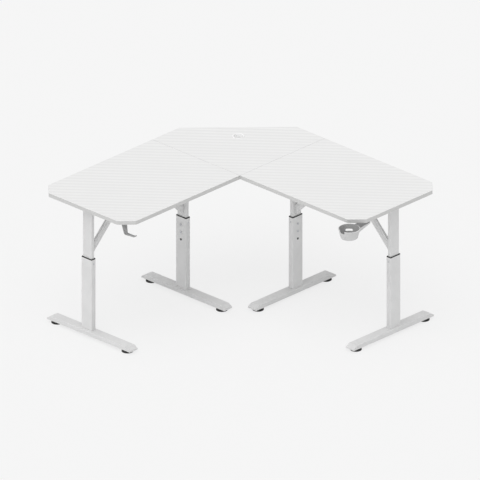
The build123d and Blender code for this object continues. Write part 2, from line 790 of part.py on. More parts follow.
# Cup holder: a bowl with a notch for a mug's handle, on an arm under the right wing's front corner
cup_plane = Plane(on_wing("right", cup_station, cup_out))
cup_top = top_height - cup_drop
cup_floor = cup_top - cup_depth
arm_end = cup_arm_length
arm_ramp = cup_arm_length - cup_arm_flat
arm_start = cup_base / 2
with BuildPart() as cup_holder:
    with BuildSketch(Plane.YZ):
        with BuildLine():
            Polyline(
                (arm_start, cup_top - cup_arm_root),
                (arm_end, underside - cup_arm_end),
                (arm_end, underside),
                (arm_ramp, underside),
                (arm_ramp - cup_arm_rise, cup_top),
                (arm_start, cup_top),
                close=True,
            )
        make_face()
    extrude(amount=cup_arm_width / 2, both=True)
    fillet(cup_holder.faces().sort_by(Axis.Y)[-1].edges().filter_by(Axis.Z), radius=cup_arm_width / 3)
    with BuildSketch(Plane.XY.offset(cup_floor)):
        Circle(cup_base / 2)
    with BuildSketch(Plane.XY.offset(cup_top)):
        Circle(cup_mouth / 2)
    loft()
    fillet(cup_holder.faces().sort_by(Axis.Z)[0].edges(), radius=cup_base_round)
    with BuildSketch(Plane.XY.offset(cup_top - cup_rim_height)):
        Circle(cup_rim / 2)
    extrude(amount=cup_rim_height)
    with BuildPart(mode=Mode.PRIVATE) as hollow:
        with BuildSketch(Plane.XY.offset(cup_floor + cup_wall)):
            Circle(cup_base / 2 - cup_wall)
        with BuildSketch(Plane.XY.offset(cup_top)):
            Circle(cup_mouth / 2 - cup_wall)
        loft()
        fillet(hollow.faces().sort_by(Axis.Z)[0].edges(), radius=cup_base_round - cup_wall)
    add(hollow.part, mode=Mode.SUBTRACT)
    with BuildSketch(Plane.XZ):
        with Locations((0, cup_top)):
            RectangleRounded(cup_notch_width, 2 * cup_notch_depth, cup_notch_round)
    extrude(amount=cup_rim, mode=Mode.SUBTRACT)
    with BuildSketch(Plane.XZ.rotated((0, 0, cup_window_angle - 90))):
        with Locations((0, cup_top - cup_window_drop)):
            RectangleRounded(cup_window_width, cup_window_height, cup_window_height / 3)
    extrude(amount=-cup_rim, mode=Mode.SUBTRACT)
    with BuildSketch(Plane.XY.offset(underside)):
        with Locations(*[(0, arm_end - inset) for inset in cup_screw_insets]):
            Circle((screw + hole_clearance) / 2)
    extrude(amount=-cup_screw_floor, mode=Mode.SUBTRACT)
    with BuildSketch(Plane.XY.offset(cup_bearing)):
        with Locations(*[(0, arm_end - inset) for inset in cup_screw_insets]):
            Circle(cup_screw_bore / 2)
    extrude(amount=-cup_arm_root, mode=Mode.SUBTRACT)
write_copy(cup_holder.part, "cup_holder", cup_plane)
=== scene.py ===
# %% [markdown]
# A corner desk, dressed for the camera
#
# The desk's boards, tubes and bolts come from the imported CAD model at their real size. This lesson
# gives every one of them its finish, models the turned, bent and moulded pieces again with more
# detail, and sets the light and the camera. Everything is in metres: +Z is up, the floor is at zero,
# the right wing runs along +X and the left wing along -Y.

# %% Load the frame
import json
import math

import bmesh
import bpy
from mathutils import Matrix, Vector


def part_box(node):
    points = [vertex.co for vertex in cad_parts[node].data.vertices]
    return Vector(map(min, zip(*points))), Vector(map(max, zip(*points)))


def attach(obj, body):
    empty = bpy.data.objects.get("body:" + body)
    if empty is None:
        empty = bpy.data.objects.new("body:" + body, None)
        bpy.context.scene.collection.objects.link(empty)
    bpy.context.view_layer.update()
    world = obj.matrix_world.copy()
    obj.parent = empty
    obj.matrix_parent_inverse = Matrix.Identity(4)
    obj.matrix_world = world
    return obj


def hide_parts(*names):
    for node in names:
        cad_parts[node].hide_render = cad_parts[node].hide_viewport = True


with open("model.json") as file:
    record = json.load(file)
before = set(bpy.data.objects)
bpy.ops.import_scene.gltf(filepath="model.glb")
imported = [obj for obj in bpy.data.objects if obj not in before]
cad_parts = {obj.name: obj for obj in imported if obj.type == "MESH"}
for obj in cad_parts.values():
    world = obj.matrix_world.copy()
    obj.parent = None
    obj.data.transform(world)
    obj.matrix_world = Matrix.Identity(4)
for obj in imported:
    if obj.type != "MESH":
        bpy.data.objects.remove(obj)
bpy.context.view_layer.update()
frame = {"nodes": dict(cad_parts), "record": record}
nodes = frame["nodes"]
MM = 0.001

# %% [markdown]
# The view
#
# The photograph is a parallel view: lines that are parallel on the desk stay parallel in it. An
# orthographic camera does the same. It stands 44 degrees round from the front and 25 degrees up,
# and its width in metres comes from the photograph's scale. One point ties the two together: the
# middle of the square that the two wings span, on the top surface, which lies above the centre of
# the picture.

# %% Camera
PICTURE = 480
PIXELS_PER_METRE = 203.6
SQUARE_MIDDLE_PIXEL = Vector((240.48, 187.64))
VIEW_TURN = math.radians(44.0)
VIEW_RISE = math.radians(25.1)
CAMERA_DISTANCE, CAMERA_REACH = 6.0, 50.0

left_low, left_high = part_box("left_wing_panel")
right_low, right_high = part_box("right_wing_panel")
square_middle = Vector(
    ((left_low.x + right_high.x) / 2, (left_low.y + right_high.y) / 2, right_high.z)
)
towards_camera = Vector(
    (
        math.sin(VIEW_TURN) * math.cos(VIEW_RISE),
        -math.cos(VIEW_TURN) * math.cos(VIEW_RISE),
        math.sin(VIEW_RISE),
    )
)
picture_right = Vector((math.cos(VIEW_TURN), math.sin(VIEW_TURN), 0))
picture_up = towards_camera.cross(picture_right)
from_centre = (SQUARE_MIDDLE_PIXEL - Vector((PICTURE / 2, PICTURE / 2))) / PIXELS_PER_METRE
aim = square_middle - picture_right * from_centre.x + picture_up * from_centre.y

camera_data = bpy.data.cameras.new("parallel_camera")
camera_data.type = "ORTHO"
camera_data.ortho_scale = PICTURE / PIXELS_PER_METRE
camera_data.clip_end = CAMERA_REACH
camera = bpy.data.objects.new("parallel_camera", camera_data)
camera.location = aim + towards_camera * CAMERA_DISTANCE
camera.rotation_euler = (-towards_camera).to_track_quat("-Z", "Y").to_euler()
bpy.context.scene.collection.objects.link(camera)
bpy.context.scene.camera = camera
bpy.context.scene.view_settings.view_transform = "Standard"
print("camera aims at", [round(v, 4) for v in aim])

# %% [markdown]
# The floor
#
# The photograph's floor is almost white and the desk leaves only a faint shadow on it. A floor that
# bounced that much light would make the undersides too bright. So the floor has two sides to it:
# what the camera, a mirror or a glass sees is mostly an even pale tone with some of the shadow left
# in it, and what lights the desk is an ordinary grey-white paint.

# %% Floor
FLOOR_SIZE = 24.0
FLOOR_SHOWN = 0.915  # the pale tone that the camera sees
FLOOR_PAINT = 0.94  # the tone that lights the desk
EVEN_SHARE = 0.84  # the rest of what is seen is lit paint, which keeps the shadow
FLOOR_ROUGHNESS, FLOOR_SHINE = 0.9, 0.1

floor_mesh = bpy.data.meshes.new("studio_floor")
floor_shape = bmesh.new()
bmesh.ops.create_grid(floor_shape, x_segments=1, y_segments=1, size=FLOOR_SIZE / 2)
floor_shape.to_mesh(floor_mesh)
floor_shape.free()
studio_floor = bpy.data.objects.new("studio_floor", floor_mesh)
bpy.context.scene.collection.objects.link(studio_floor)


def seen_directly(tree):
    """1 for a ray from the camera, or one that a mirror or a glass passes on; 0 for light that spreads."""
    ray = tree.nodes.new("ShaderNodeLightPath")
    seen = ray.outputs["Is Camera Ray"]
    for kind in ("Is Glossy Ray", "Is Transmission Ray"):
        either = tree.nodes.new("ShaderNodeMath")
        either.operation = "MAXIMUM"
        tree.links.new(seen, either.inputs[0])
        tree.links.new(ray.outputs[kind], either.inputs[1])
        seen = either.outputs[0]
    return seen


def grey(level):
    return (level, level, level, 1)


floor_paint = bpy.data.materials.new("studio_floor_paint")
floor_paint.use_nodes = True
floor_tree = floor_paint.node_tree
paint = floor_tree.nodes["Principled BSDF"]
paint.inputs["Roughness"].default_value = FLOOR_ROUGHNESS
paint.inputs["Specular IOR Level"].default_value = FLOOR_SHINE
even_tone = floor_tree.nodes.new("ShaderNodeEmission")
even_tone.inputs["Color"].default_value = grey(FLOOR_SHOWN)
seen = seen_directly(floor_tree)
tone = floor_tree.nodes.new("ShaderNodeMix")
tone.data_type = "RGBA"
paint_tone, shown_tone = [socket for socket in tone.inputs if socket.type == "RGBA"]
paint_tone.default_value = grey(FLOOR_PAINT)
shown_tone.default_value = grey(FLOOR_SHOWN)
floor_tree.links.new(seen, tone.inputs["Factor"])
floor_tree.links.new(
    next(socket for socket in tone.outputs if socket.type == "RGBA"), paint.inputs["Base Color"]
)
share = floor_tree.nodes.new("ShaderNodeMath")
share.operation = "MULTIPLY"
share.inputs[1].default_value = EVEN_SHARE
floor_tree.links.new(seen, share.inputs[0])
shown = floor_tree.nodes.new("ShaderNodeMixShader")
floor_tree.links.new(share.outputs[0], shown.inputs["Fac"])
floor_tree.links.new(paint.outputs["BSDF"], shown.inputs[1])
floor_tree.links.new(even_tone.outputs["Emission"], shown.inputs[2])
floor_tree.links.new(shown.outputs["Shader"], floor_tree.nodes["Material Output"].inputs["Surface"])
floor_mesh.materials.append(floor_paint)
print("floor", FLOOR_SIZE, "m wide")

# %% [markdown]
# The light
#
# White furniture needs a bright, even room. The sky gives more than half of the light. A broad, soft
# sun stands high and a weak one low, both to the left of the camera, so that a face which looks left
# is a little lighter than one which looks right, as in the photograph. Suns are used because, unlike
# a lamp near the desk, they light both wings alike. Where the camera looks past the floor it sees the
# same pale tone as the floor's.

# %% Sky and suns
SKY_STRENGTH = 0.61
SUNS = {  # direction towards the sun, strength, width in degrees
    "high_sun": (Vector((0.10, -0.32, 0.90)), 1.35, 60),
    "low_sun": (Vector((0.30, -0.93, 0.13)), 0.29, 60),
}
SUN_DISTANCE = 4.0

sky = bpy.data.worlds.new("studio_sky")
sky.use_nodes = True
sky_tree = sky.node_tree
sky_light = sky_tree.nodes["Background"]
sky_light.inputs["Color"].default_value = grey(1)
sky_light.inputs["Strength"].default_value = SKY_STRENGTH
pale_distance = sky_tree.nodes.new("ShaderNodeBackground")
pale_distance.inputs["Color"].default_value = grey(FLOOR_SHOWN)
sky_mix = sky_tree.nodes.new("ShaderNodeMixShader")
sky_tree.links.new(seen_directly(sky_tree), sky_mix.inputs["Fac"])
sky_tree.links.new(sky_light.outputs["Background"], sky_mix.inputs[1])
sky_tree.links.new(pale_distance.outputs["Background"], sky_mix.inputs[2])
sky_tree.links.new(sky_mix.outputs["Shader"], sky_tree.nodes["World Output"].inputs["Surface"])
bpy.context.scene.world = sky

for name, (towards_sun, strength, softness) in SUNS.items():
    sun_data = bpy.data.lights.new(name, "SUN")
    sun_data.energy = strength
    sun_data.angle = math.radians(softness)
    sun = bpy.data.objects.new(name, sun_data)
    sun.location = towards_sun * SUN_DISTANCE
    sun.rotation_euler = (-towards_sun).to_track_quat("-Z", "Y").to_euler()
    bpy.context.scene.collection.objects.link(sun)
print("suns", list(SUNS))

# %% [markdown]
# How a finish is made here
#
# Each finish is one material with a Principled shader. A few nodes feed it: Object coordinates,
# which are the desk's own metres, a texture or two, and a ramp that turns the texture into colour,
# roughness or bump. The helpers below only save typing: one adds a node and sets its values, one
# makes a noise of a given grain size in millimetres, others turn a value into a tone, a range or a
# bump.


# %% Node helpers
def new_finish(name, roughness, metallic=0.0, specular=0.5):
    finish = bpy.data.materials.new(name)
    finish.use_nodes = True
    shader = finish.node_tree.nodes["Principled BSDF"]
    shader.inputs["Roughness"].default_value = roughness
    shader.inputs["Metallic"].default_value = metallic
    shader.inputs["Specular IOR Level"].default_value = specular
    return finish, finish.node_tree, shader


def add_node(tree, kind, **settings):
    node = tree.nodes.new(kind)
    for key, value in settings.items():
        if hasattr(node, key):
            setattr(node, key, value)
        else:
            node.inputs[key.replace("_", " ").title()].default_value = value
    return node


def object_coordinates(tree):
    return add_node(tree, "ShaderNodeTexCoord").outputs["Object"]


def noise_of_grain(tree, place, grain_mm, detail=3.0):
    noise = add_node(tree, "ShaderNodeTexNoise", scale=1000 / grain_mm, detail=detail)
    tree.links.new(place, noise.inputs["Vector"])
    return noise.outputs["Fac"]


def tone_between(tree, value, dark, light, low=0.3, high=0.7):
    ramp = add_node(tree, "ShaderNodeValToRGB")
    ramp.color_ramp.elements[0].position = low
    ramp.color_ramp.elements[1].position = high
    ramp.color_ramp.elements[0].color = (*dark, 1)
    ramp.color_ramp.elements[1].color = (*light, 1)
    tree.links.new(value, ramp.inputs["Fac"])
    return ramp.outputs["Color"]


def range_between(tree, value, low, high):
    span = add_node(tree, "ShaderNodeMapRange")
    span.inputs["To Min"].default_value = low
    span.inputs["To Max"].default_value = high
    tree.links.new(value, span.inputs["Value"])
    return span.outputs["Result"]


def add_bump(tree, shader, value, depth_mm, strength=1.0):
    bump = add_node(tree, "ShaderNodeBump", strength=strength)
    bump.inputs["Distance"].default_value = depth_mm * MM
    tree.links.new(value, bump.inputs["Height"])
    tree.links.new(bump.outputs["Normal"], shader.inputs["Normal"])


def combine(tree, operation, first, second):
    maths = add_node(tree, "ShaderNodeMath", operation=operation)
    for socket, value in zip(maths.inputs, (first, second)):
        if isinstance(value, (int, float)):
            socket.default_value = value
        else:
            tree.links.new(value, socket)
    return maths.outputs[0]


def choose_colour(tree, switch, when_off, when_on):
    choice = add_node(tree, "ShaderNodeMix", data_type="RGBA")
    sockets = [socket for socket in choice.inputs if socket.type == "RGBA"]
    tree.links.new(switch, choice.inputs["Factor"])
    tree.links.new(when_off, sockets[0])
    tree.links.new(when_on, sockets[1])
    return next(socket for socket in choice.outputs if socket.type == "RGBA")


print("finish helpers ready")

# %% [markdown]
# The desk top's white laminate
#
# The photograph's top is nearly white, with faint stripes that run across the corner, from one
# wing to the other, a few degrees off the diagonal. They are the sheen of a printed twill: fine
# slanting threads whose rows drift in and out of step. A turned Wave texture gives the broad
# stripe, two fine ones give the threads, and a slow noise makes the stripes fade in and out. The
# sides of a board are plain edging without the print, painted greyer than the top as painted shade
# for the upright sides, so the way a face looks picks between print and edging.

# %% Laminate
STRIPE_PITCH_MM, STRIPE_TURN = 32.8, 49.8
WEAVE_PITCH_MM, WEAVE_TURNS, WEAVE_SHARE = 5.2, (20, 70), 0.35
DRIFT_GRAIN_MM, DRIFT_RANGE = 140, (0.35, 0.85)
PRINT_DARK, PRINT_LIGHT = (0.772, 0.772, 0.770), (0.850, 0.850, 0.846)
# painted shade: the edging tones are darker than the print to stand in for the shade on the board's upright
# sides
SHADED_EDGING_DARK, SHADED_EDGING_LIGHT, EDGING_GRAIN_MM = (0.59, 0.59, 0.585), (0.625, 0.625, 0.62), 2.5
FACES_UP = 0.8  # a face counts as the top when its normal rises more than this
BLENDER_WAVE = 20.0  # a Wave texture repeats 20 / (2 pi) times a unit at scale 1


def stripes(tree, place, pitch_mm, turn_degrees):
    turned = add_node(tree, "ShaderNodeMapping")
    turned.inputs["Rotation"].default_value = (0, 0, math.radians(turn_degrees))
    tree.links.new(place, turned.inputs["Vector"])
    wave = add_node(tree, "ShaderNodeTexWave", bands_direction="X", wave_profile="SIN")
    wave.inputs["Scale"].default_value = 1000 / pitch_mm * 2 * math.pi / BLENDER_WAVE
    tree.links.new(turned.outputs["Vector"], wave.inputs["Vector"])
    return wave.outputs["Fac"]


def make_laminate():
    finish, tree, shader = new_finish("white_twill_laminate", roughness=0.42, specular=0.35)
    place = object_coordinates(tree)
    broad = stripes(tree, place, STRIPE_PITCH_MM, STRIPE_TURN)
    threads = combine(
        tree, "MULTIPLY", *[stripes(tree, place, WEAVE_PITCH_MM, turn) for turn in WEAVE_TURNS]
    )
    drift = range_between(tree, noise_of_grain(tree, place, DRIFT_GRAIN_MM, 2), *DRIFT_RANGE)
    striped = combine(tree, "MULTIPLY", broad, drift)
    print_value = combine(tree, "ADD", striped, combine(tree, "MULTIPLY", threads, WEAVE_SHARE))
    printed = tone_between(tree, print_value, PRINT_DARK, PRINT_LIGHT, 0.1, 0.9)
    speck = noise_of_grain(tree, place, EDGING_GRAIN_MM)
    # painted shade: faces that do not look up get this darker edging tone
    shaded_edging = tone_between(tree, speck, SHADED_EDGING_DARK, SHADED_EDGING_LIGHT)
    looks = add_node(tree, "ShaderNodeSeparateXYZ")
    tree.links.new(add_node(tree, "ShaderNodeNewGeometry").outputs["Normal"], looks.inputs["Vector"])
    is_top = combine(tree, "GREATER_THAN", looks.outputs["Z"], FACES_UP)
    tree.links.new(choose_colour(tree, is_top, shaded_edging, printed), shader.inputs["Base Color"])
    tree.links.new(range_between(tree, print_value, 0.36, 0.5), shader.inputs["Roughness"])
    add_bump(tree, shader, combine(tree, "MULTIPLY", threads, is_top), 0.06, 0.5)
    return finish


print("laminate stripe pitch", STRIPE_PITCH_MM, "mm")

# %% [markdown]
# The frame's powder coat
#
# The steel is sprayed with a satin pale powder and baked. Up close it has a soft orange peel,
# bumps about a millimetre across and a few hundredths high, and the coat is a touch thinner and
# darker in patches a hand wide.

# %% Powder coat
COAT_DARK, COAT_LIGHT = 0.69, 0.735
PATCH_GRAIN_MM, PEEL_GRAIN_MM, PEEL_DEPTH_MM = 90, 1.4, 0.05


def make_powder_coat():
    finish, tree, shader = new_finish("satin_powder_coat", roughness=0.45, specular=0.45)
    place = object_coordinates(tree)
    patches = noise_of_grain(tree, place, PATCH_GRAIN_MM, 2)
    coat = tone_between(tree, patches, (COAT_DARK,) * 3, (COAT_LIGHT,) * 3)
    tree.links.new(coat, shader.inputs["Base Color"])
    peel = noise_of_grain(tree, place, PEEL_GRAIN_MM, 2)
    tree.links.new(range_between(tree, peel, 0.38, 0.52), shader.inputs["Roughness"])
    add_bump(tree, shader, peel, PEEL_DEPTH_MM, 0.2)
    return finish


print("powder coat tones", COAT_DARK, "to", COAT_LIGHT)

# %% [markdown]
# Moulded plastics
#
# The collars, glides, plugs and pads are black moulded plastic with a fine spark-eroded grain. The
# hook and the cup holder are grey ones, and the cable ring a white one. One function makes them all,
# because only the tone and the grain differ.

# %% Plastics
CLOUD_GRAIN_MM, MOULD_DEPTH_MM, ROUGHNESS_SPREAD = 30, 0.04, 0.08


def make_moulded(name, dark, light, roughness, grain_mm):
    finish, tree, shader = new_finish(name, roughness=roughness, specular=0.4)
    place = object_coordinates(tree)
    cloud = noise_of_grain(tree, place, CLOUD_GRAIN_MM, 2)
    tone = tone_between(tree, cloud, (dark,) * 3, (light,) * 3)
    tree.links.new(tone, shader.inputs["Base Color"])
    grain = noise_of_grain(tree, place, grain_mm, 2)
    rough = range_between(tree, grain, roughness - ROUGHNESS_SPREAD, roughness + ROUGHNESS_SPREAD)
    tree.links.new(rough, shader.inputs["Roughness"])
    add_bump(tree, shader, grain, MOULD_DEPTH_MM, 0.4)
    return finish


print("moulded plastics: clouds of", CLOUD_GRAIN_MM, "mm")

# %% [markdown]
# Zinc-plated steel and beech
#
# Bolts, screws, studs and plates are zinc plated: grey metal, slightly blue, with cloudy patches
# where the plating is thicker. The dowels inside the seams are beech, with straight dark flecks.

# %% Zinc and beech
ZINC_DARK, ZINC_LIGHT, ZINC_GRAIN_MM = (0.50, 0.51, 0.53), (0.68, 0.69, 0.71), 7
BEECH_DARK, BEECH_LIGHT, FLECK_GRAIN_MM = (0.52, 0.36, 0.21), (0.70, 0.53, 0.34), 1.2


def make_zinc():
    finish, tree, shader = new_finish("zinc_plate", roughness=0.38, metallic=1.0)
    place = object_coordinates(tree)
    cloud = noise_of_grain(tree, place, ZINC_GRAIN_MM, 4)
    tree.links.new(tone_between(tree, cloud, ZINC_DARK, ZINC_LIGHT), shader.inputs["Base Color"])
    tree.links.new(range_between(tree, cloud, 0.3, 0.5), shader.inputs["Roughness"])
    add_bump(tree, shader, noise_of_grain(tree, place, 0.8, 2), 0.02, 0.3)
    return finish


def make_beech():
    finish, tree, shader = new_finish("beech", roughness=0.6)
    place = object_coordinates(tree)
    stretched = add_node(tree, "ShaderNodeMapping")
    stretched.inputs["Scale"].default_value = (0.2, 0.2, 1.0)
    tree.links.new(place, stretched.inputs["Vector"])
    fleck = noise_of_grain(tree, stretched.outputs["Vector"], FLECK_GRAIN_MM, 4)
    tree.links.new(tone_between(tree, fleck, BEECH_DARK, BEECH_LIGHT), shader.inputs["Base Color"])
    add_bump(tree, shader, fleck, 0.05, 0.3)
    return finish


print("zinc and beech ready")

# %% [markdown]
# One finish for every piece
#
# The record of the desk names a material slot for every node. Each slot gets one finish here. One
# more grey is for the hook, and two darker greys are painted shade: one for the inside of the cup,
# one for the top and upper sides of its arm under the board.

# %% All finishes
FINISHES = {
    "top_laminate": make_laminate(),
    "powder_coat": make_powder_coat(),
    "black_plastic": make_moulded("black_moulding", 0.012, 0.020, 0.42, 0.7),
    "grey_plastic": make_moulded("grey_moulding", 0.585, 0.635, 0.45, 0.8),
    "white_plastic": make_moulded("white_moulding", 0.86, 0.90, 0.42, 0.8),
    "zinc_steel": make_zinc(),
    "dowel_wood": make_beech(),
}
hook_finish = make_moulded("mid_grey_moulding", 0.36, 0.41, 0.45, 0.8)
# painted shade: a darker grey for the inside and floor of the cup's bowl
bowl_shade_finish = make_moulded("painted_shade_bowl_inside", 0.35, 0.39, 0.6, 0.6)
# painted shade: a darker grey for the arm's top and upper sides, under the board
arm_shade_finish = make_moulded("painted_shade_arm_top", 0.19, 0.23, 0.55, 0.6)
print("finishes", list(FINISHES))

# %% Give every node of the frame its finish
slot_of = {part["node"]: part["material_slot"] for part in frame["record"]["subparts"]}
for name, node in nodes.items():
    node.data.materials.clear()
    node.data.materials.append(FINISHES[slot_of[name]])
print("dressed", len(nodes), "nodes")

# %% [markdown]
# Round pieces from half an outline
#
# Feet, rings and cups are round. Half of their outline, drawn as a line of a few points and spun
# about an upright axis, makes the whole piece. A corner of the line is rounded before the spin with
# a vertex bevel, because one rounded point then gives one clean ring. The last helper turns a
# finished shape into an object, says which body carries it and hides the CAD node it stands for.

# %% Modelling helpers
ROUND_STEPS = 4
SHARP_TURN = math.radians(38)
WELD = MM / 1000


def draw_outline(shape, corners, closed=False):
    """Adds a line through (across, up, setback) corners in millimetres; a setback rounds its corner."""
    points = [shape.verts.new((across * MM, 0, up * MM)) for across, up, _ in corners]
    pairs = list(zip(points, points[1:] + points[:1]))
    for pair in pairs if closed else pairs[:-1]:
        shape.edges.new(pair)
    for point, (_, _, setback) in zip(points, corners):
        if setback:
            bmesh.ops.bevel(
                shape, geom=[point], affect="VERTICES", offset=setback * MM,
                segments=ROUND_STEPS, profile=0.5, material=-1,
            )


def spin_round(shape, steps):
    bmesh.ops.spin(
        shape, geom=shape.verts[:] + shape.edges[:], cent=(0, 0, 0), axis=(0, 0, 1), dvec=(0, 0, 0),
        angle=2 * math.pi, steps=steps, use_merge=True, use_duplicate=False,
    )
    bmesh.ops.remove_doubles(shape, verts=shape.verts, dist=WELD)
    bmesh.ops.recalc_face_normals(shape, faces=shape.faces)


def join_shapes(shapes):
    whole = bmesh.new()
    for shape in shapes:
        part = bpy.data.meshes.new("part")
        shape.to_mesh(part)
        shape.free()
        whole.from_mesh(part)
        bpy.data.meshes.remove(part)
    return whole


def extrude_faces(shape, faces):
    """Extrudes the faces together and gives back the new points and the new faces, still in place."""
    edges = {edge for face in faces for edge in face.edges}
    verts = {vert for face in faces for vert in face.verts}
    new = bmesh.ops.extrude_face_region(shape, geom=faces + list(edges) + list(verts))["geom"]
    return (
        [item for item in new if isinstance(item, bmesh.types.BMVert)],
        [item for item in new if isinstance(item, bmesh.types.BMFace)],
    )


def count_open(shape):
    return sum(len(edge.link_faces) != 2 for edge in shape.edges)


def add_piece(name, shape, place, body, finishes, stands_for):
    bmesh.ops.translate(shape, verts=shape.verts, vec=place)
    open_edges = count_open(shape)
    mesh = bpy.data.meshes.new(name)
    shape.to_mesh(mesh)
    shape.free()
    mesh.shade_smooth()
    mesh.set_sharp_from_angle(angle=SHARP_TURN)
    for finish in finishes:
        mesh.materials.append(finish)
    piece = bpy.data.objects.new(name, mesh)
    bpy.context.scene.collection.objects.link(piece)
    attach(piece, body)
    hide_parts(stands_for)
    print(name, len(mesh.polygons), "faces", open_edges, "open edges")
    return piece


def middle_of(node):
    low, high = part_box(node)
    return Vector(((low.x + high.x) / 2, (low.y + high.y) / 2, 0))


print("modelling helpers ready")

# %% [markdown]
# Levelling pads
#
# Under each end of a foot bar stands a round black pad that a hand can turn to level the desk. On
# the real one the rim has grips all round. The pad is spun from its half outline: hollow
# underneath, a sloping rim, a small hub with a blind hole for the stud. Then every other face of
# the rim is inset and pushed in, which makes the grips with one operator.

# %% Levelling pads
LEGS = ("left_outer", "left_inner", "right_inner", "right_outer")
ENDS = ("front", "back")
PAD_GRIPS = 32
PAD_OUTLINE = (
    (0, 0.9, 0), (19, 0.9, 0), (20.5, 0, 0.4), (29, 0, 1.4), (27.4, 11.5, 1.4), (12.6, 11.5, 0.5),
    (12, 13.5, 0.6), (4.05, 13.5, 0), (4.05, 7, 0), (0, 7, 0),
)
GRIP_EDGE, GRIP_DEPTH = 0.45 * MM, 0.7 * MM
RIM_RADIUS, RIM_SLOPE, RIM_FACE = 27 * MM, 0.3, 12 * MM**2  # what tells the rim's large faces apart


def make_pad():
    shape = bmesh.new()
    draw_outline(shape, PAD_OUTLINE)
    spin_round(shape, 2 * PAD_GRIPS)
    grips = []
    for face in shape.faces:
        middle = face.calc_center_median()
        upright = abs(face.normal.z) < RIM_SLOPE and face.calc_area() > RIM_FACE
        step = round(math.atan2(middle.y, middle.x) / math.pi * PAD_GRIPS - 0.5)
        if upright and middle.xy.length > RIM_RADIUS and step % 2:
            grips.append(face)
    bmesh.ops.inset_individual(
        shape, faces=grips, thickness=GRIP_EDGE, depth=-GRIP_DEPTH, use_even_offset=True
    )
    print("pad grips", len(grips))
    return shape


pad = make_pad()
for leg in LEGS:
    for end in ENDS:
        node = f"foot_pad_{leg}_{end}"
        add_piece(
            f"levelling_pad_{leg}_{end}", pad.copy(), middle_of(node), f"foot_{leg}_{end}",
            [FINISHES["black_plastic"]], node,
        )
pad.free()

# %% [markdown]
# Threaded studs
#
# A pad is moulded round the foot of an M8 stud with a hexagon for a spanner. A screw thread is a
# small triangle that climbs while it goes round, and that is how it is made here: the spin operator
# takes a rise for every step. A plain core fills the inside, and the hexagon is a six-sided cone
# operator with equal ends, its edges broken by a bevel.

# %% Threaded studs
THREAD_STEPS = 24
THREAD_TURNS = 11
THREAD_PITCH = 1.25 * MM
THREAD_TOOTH = ((3.2, 18.0), (3.2, 19.1), (4.0, 18.55))
STUD_CORE = (
    (0, 7, 0), (3.95, 7, 0.4), (3.95, 17.6, 0), (3.3, 18.2, 0), (3.3, 32.4, 0), (2.7, 33, 0), (0, 33, 0),
)
HEX_ACROSS, HEX_LOW, HEX_HIGH, HEX_EDGE = 13.0, 13.5, 17.5, 0.35


def make_stud():
    core = bmesh.new()
    draw_outline(core, STUD_CORE)
    spin_round(core, THREAD_STEPS)
    thread = bmesh.new()
    tooth = thread.faces.new([thread.verts.new((x * MM, 0, z * MM)) for x, z in THREAD_TOOTH])
    bmesh.ops.spin(
        thread, geom=[tooth] + tooth.edges[:] + tooth.verts[:], cent=(0, 0, 0), axis=(0, 0, 1),
        dvec=(0, 0, THREAD_PITCH / THREAD_STEPS), angle=2 * math.pi * THREAD_TURNS,
        steps=THREAD_STEPS * THREAD_TURNS, use_merge=False, use_duplicate=False,
    )
    bmesh.ops.recalc_face_normals(thread, faces=thread.faces)
    hexagon = bmesh.new()
    reach = HEX_ACROSS / math.sqrt(3) * MM
    bmesh.ops.create_cone(
        hexagon, cap_ends=True, segments=6, radius1=reach, radius2=reach, depth=(HEX_HIGH - HEX_LOW) * MM
    )
    bmesh.ops.translate(hexagon, verts=hexagon.verts, vec=(0, 0, (HEX_LOW + HEX_HIGH) / 2 * MM))
    bmesh.ops.bevel(
        hexagon, geom=hexagon.edges[:], affect="EDGES", offset=HEX_EDGE * MM, segments=2, profile=0.5,
        material=-1,
    )
    return join_shapes([core, thread, hexagon])


stud = make_stud()
for leg in LEGS:
    for end in ENDS:
        node = f"foot_stud_{leg}_{end}"
        add_piece(
            f"threaded_stud_{leg}_{end}", stud.copy(), middle_of(node), f"foot_{leg}_{end}",
            [FINISHES["zinc_steel"]], node,
        )
stud.free()

# %% [markdown]
# Cable ring
#
# A white plastic ring lines the hole in the corner board. Its flange covers the cut edge of the
# laminate, a funnel leads the cables in and its tube stops them from chafing. Its half outline is a
# closed line this time, because the middle stays open.

# %% Cable ring
RING_OUTLINE = (
    (24.9, 700, 0.8), (24.9, 725, 0), (30, 725, 0), (30, 727, 1.2), (24, 727, 1.0), (20, 715, 3.0),
    (20, 700, 0.8),
)
RING_STEPS = 96
ring = bmesh.new()
draw_outline(ring, RING_OUTLINE, closed=True)
spin_round(ring, RING_STEPS)
add_piece(
    "cable_ring", ring, middle_of("cable_grommet"), "desk_top",
    [FINISHES["white_plastic"]], "cable_grommet",
)

# %% [markdown]
# Cutting a window in a sheet
#
# The hook has screw holes, and the cup a notch and a window. A convex hole can be cut in a sheet
# with the bisect operator alone: one straight cut for each side of its outline, and each time only
# the faces on the inner side are kept for the next cut. What is left at the end lies inside the
# outline, and can be deleted or pushed in. The outline itself is a square with bevelled corners, or
# a circle, read back from a small mesh.

# %% Cutting helpers
CIRCLE_STEPS = 20
ON_PLANE = MM / 10000


def rounded_outline(width, height, rounding):
    shape = bmesh.new()
    bmesh.ops.create_grid(shape, x_segments=1, y_segments=1, size=0.5)
    bmesh.ops.scale(shape, vec=(width * MM, height * MM, 1), verts=shape.verts)
    bmesh.ops.bevel(
        shape, geom=shape.verts[:], affect="VERTICES", offset=rounding * MM, segments=ROUND_STEPS,
        profile=0.5, material=-1,
    )
    outline = [vert.co.copy() for face in shape.faces for vert in face.verts]
    shape.free()
    return outline


def circle_outline(diameter):
    shape = bmesh.new()
    bmesh.ops.create_circle(shape, cap_ends=True, segments=CIRCLE_STEPS, radius=diameter / 2 * MM)
    outline = [vert.co.copy() for face in shape.faces for vert in face.verts]
    shape.free()
    return outline


